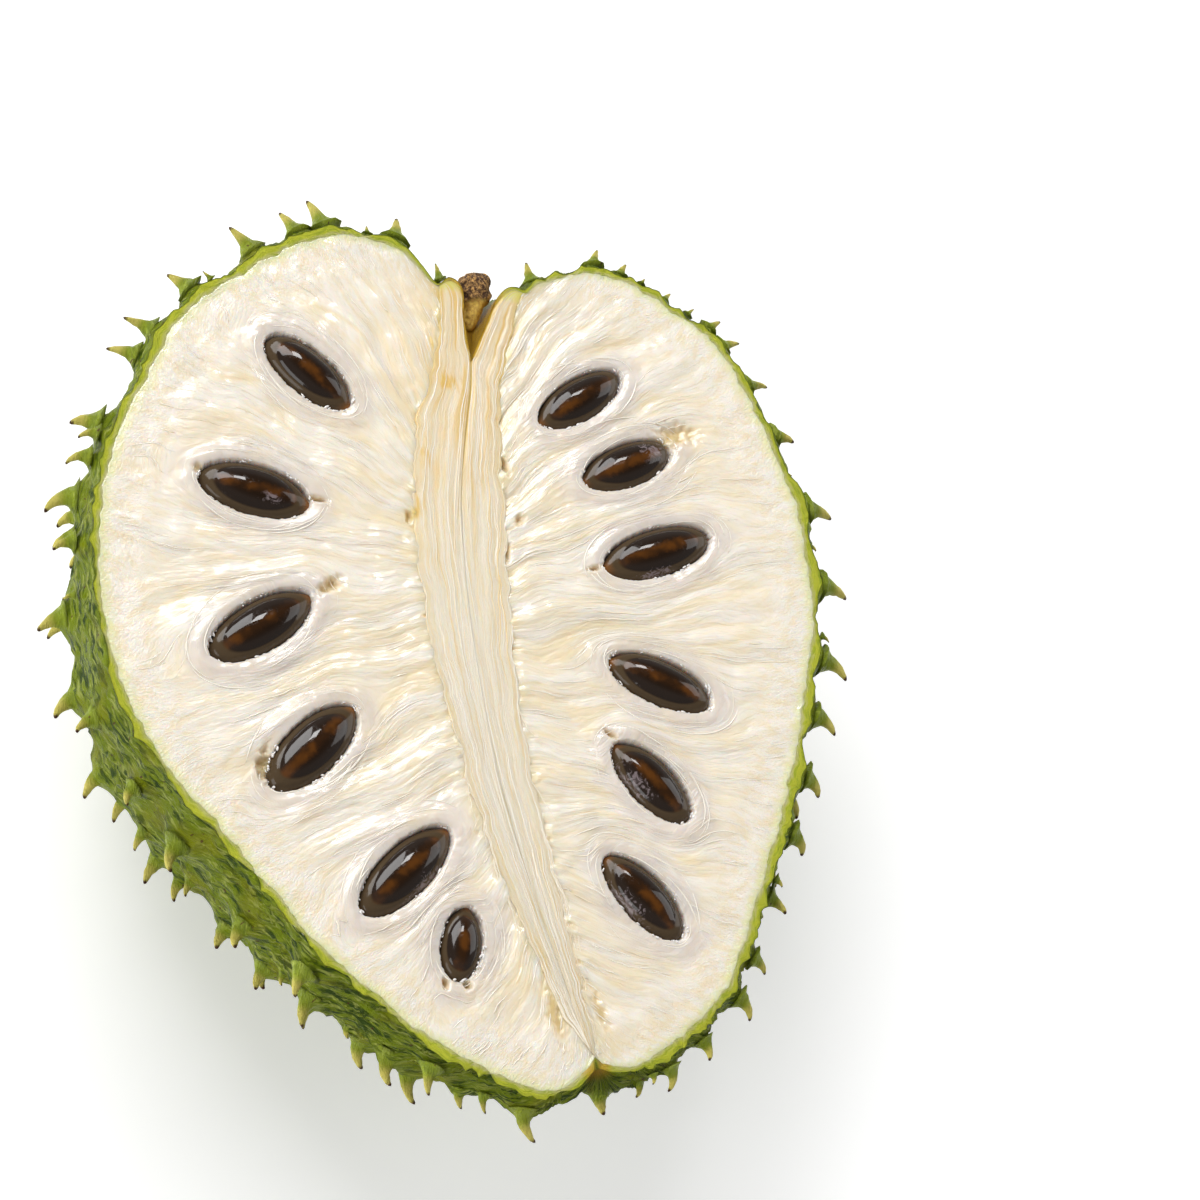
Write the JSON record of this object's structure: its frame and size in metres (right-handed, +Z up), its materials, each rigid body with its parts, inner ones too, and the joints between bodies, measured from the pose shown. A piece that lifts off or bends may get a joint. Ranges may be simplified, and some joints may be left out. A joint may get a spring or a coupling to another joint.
{
  "type": "halved soursop",
  "caption": "Half a soursop cut lengthwise, lying on its back: green rind with soft curved spines, cream fibrous flesh, straw core, dark glossy seeds and a woody stalk stub.",
  "frame": {"origin": "on the surface the half lies on, under the middle of its box", "axes": "+Z up out of the cut face, +Y from the apex towards the stalk, +X across the cut face"},
  "size_m": [0.141, 0.1674, 0.0596],
  "materials": {
    "rind": "satin",
    "flesh": "wet, creamy",
    "core": "moist, fibrous",
    "stalk": "rough",
    "seed": "glossy, wet"
  },
  "bodies": {
    "root": {"rind": "rind", "flesh": "flesh", "core": "core", "stalk": "stalk", "seed_left_1": "seed", "seed_left_2": "seed", "seed_left_3": "seed", "seed_left_4": "seed", "seed_left_5": "seed", "seed_left_6": "seed", "seed_right_1": "seed", "seed_right_2": "seed", "seed_right_3": "seed", "seed_right_4": "seed", "seed_right_5": "seed", "seed_right_6": "seed"}
  },
  "joints": []
}
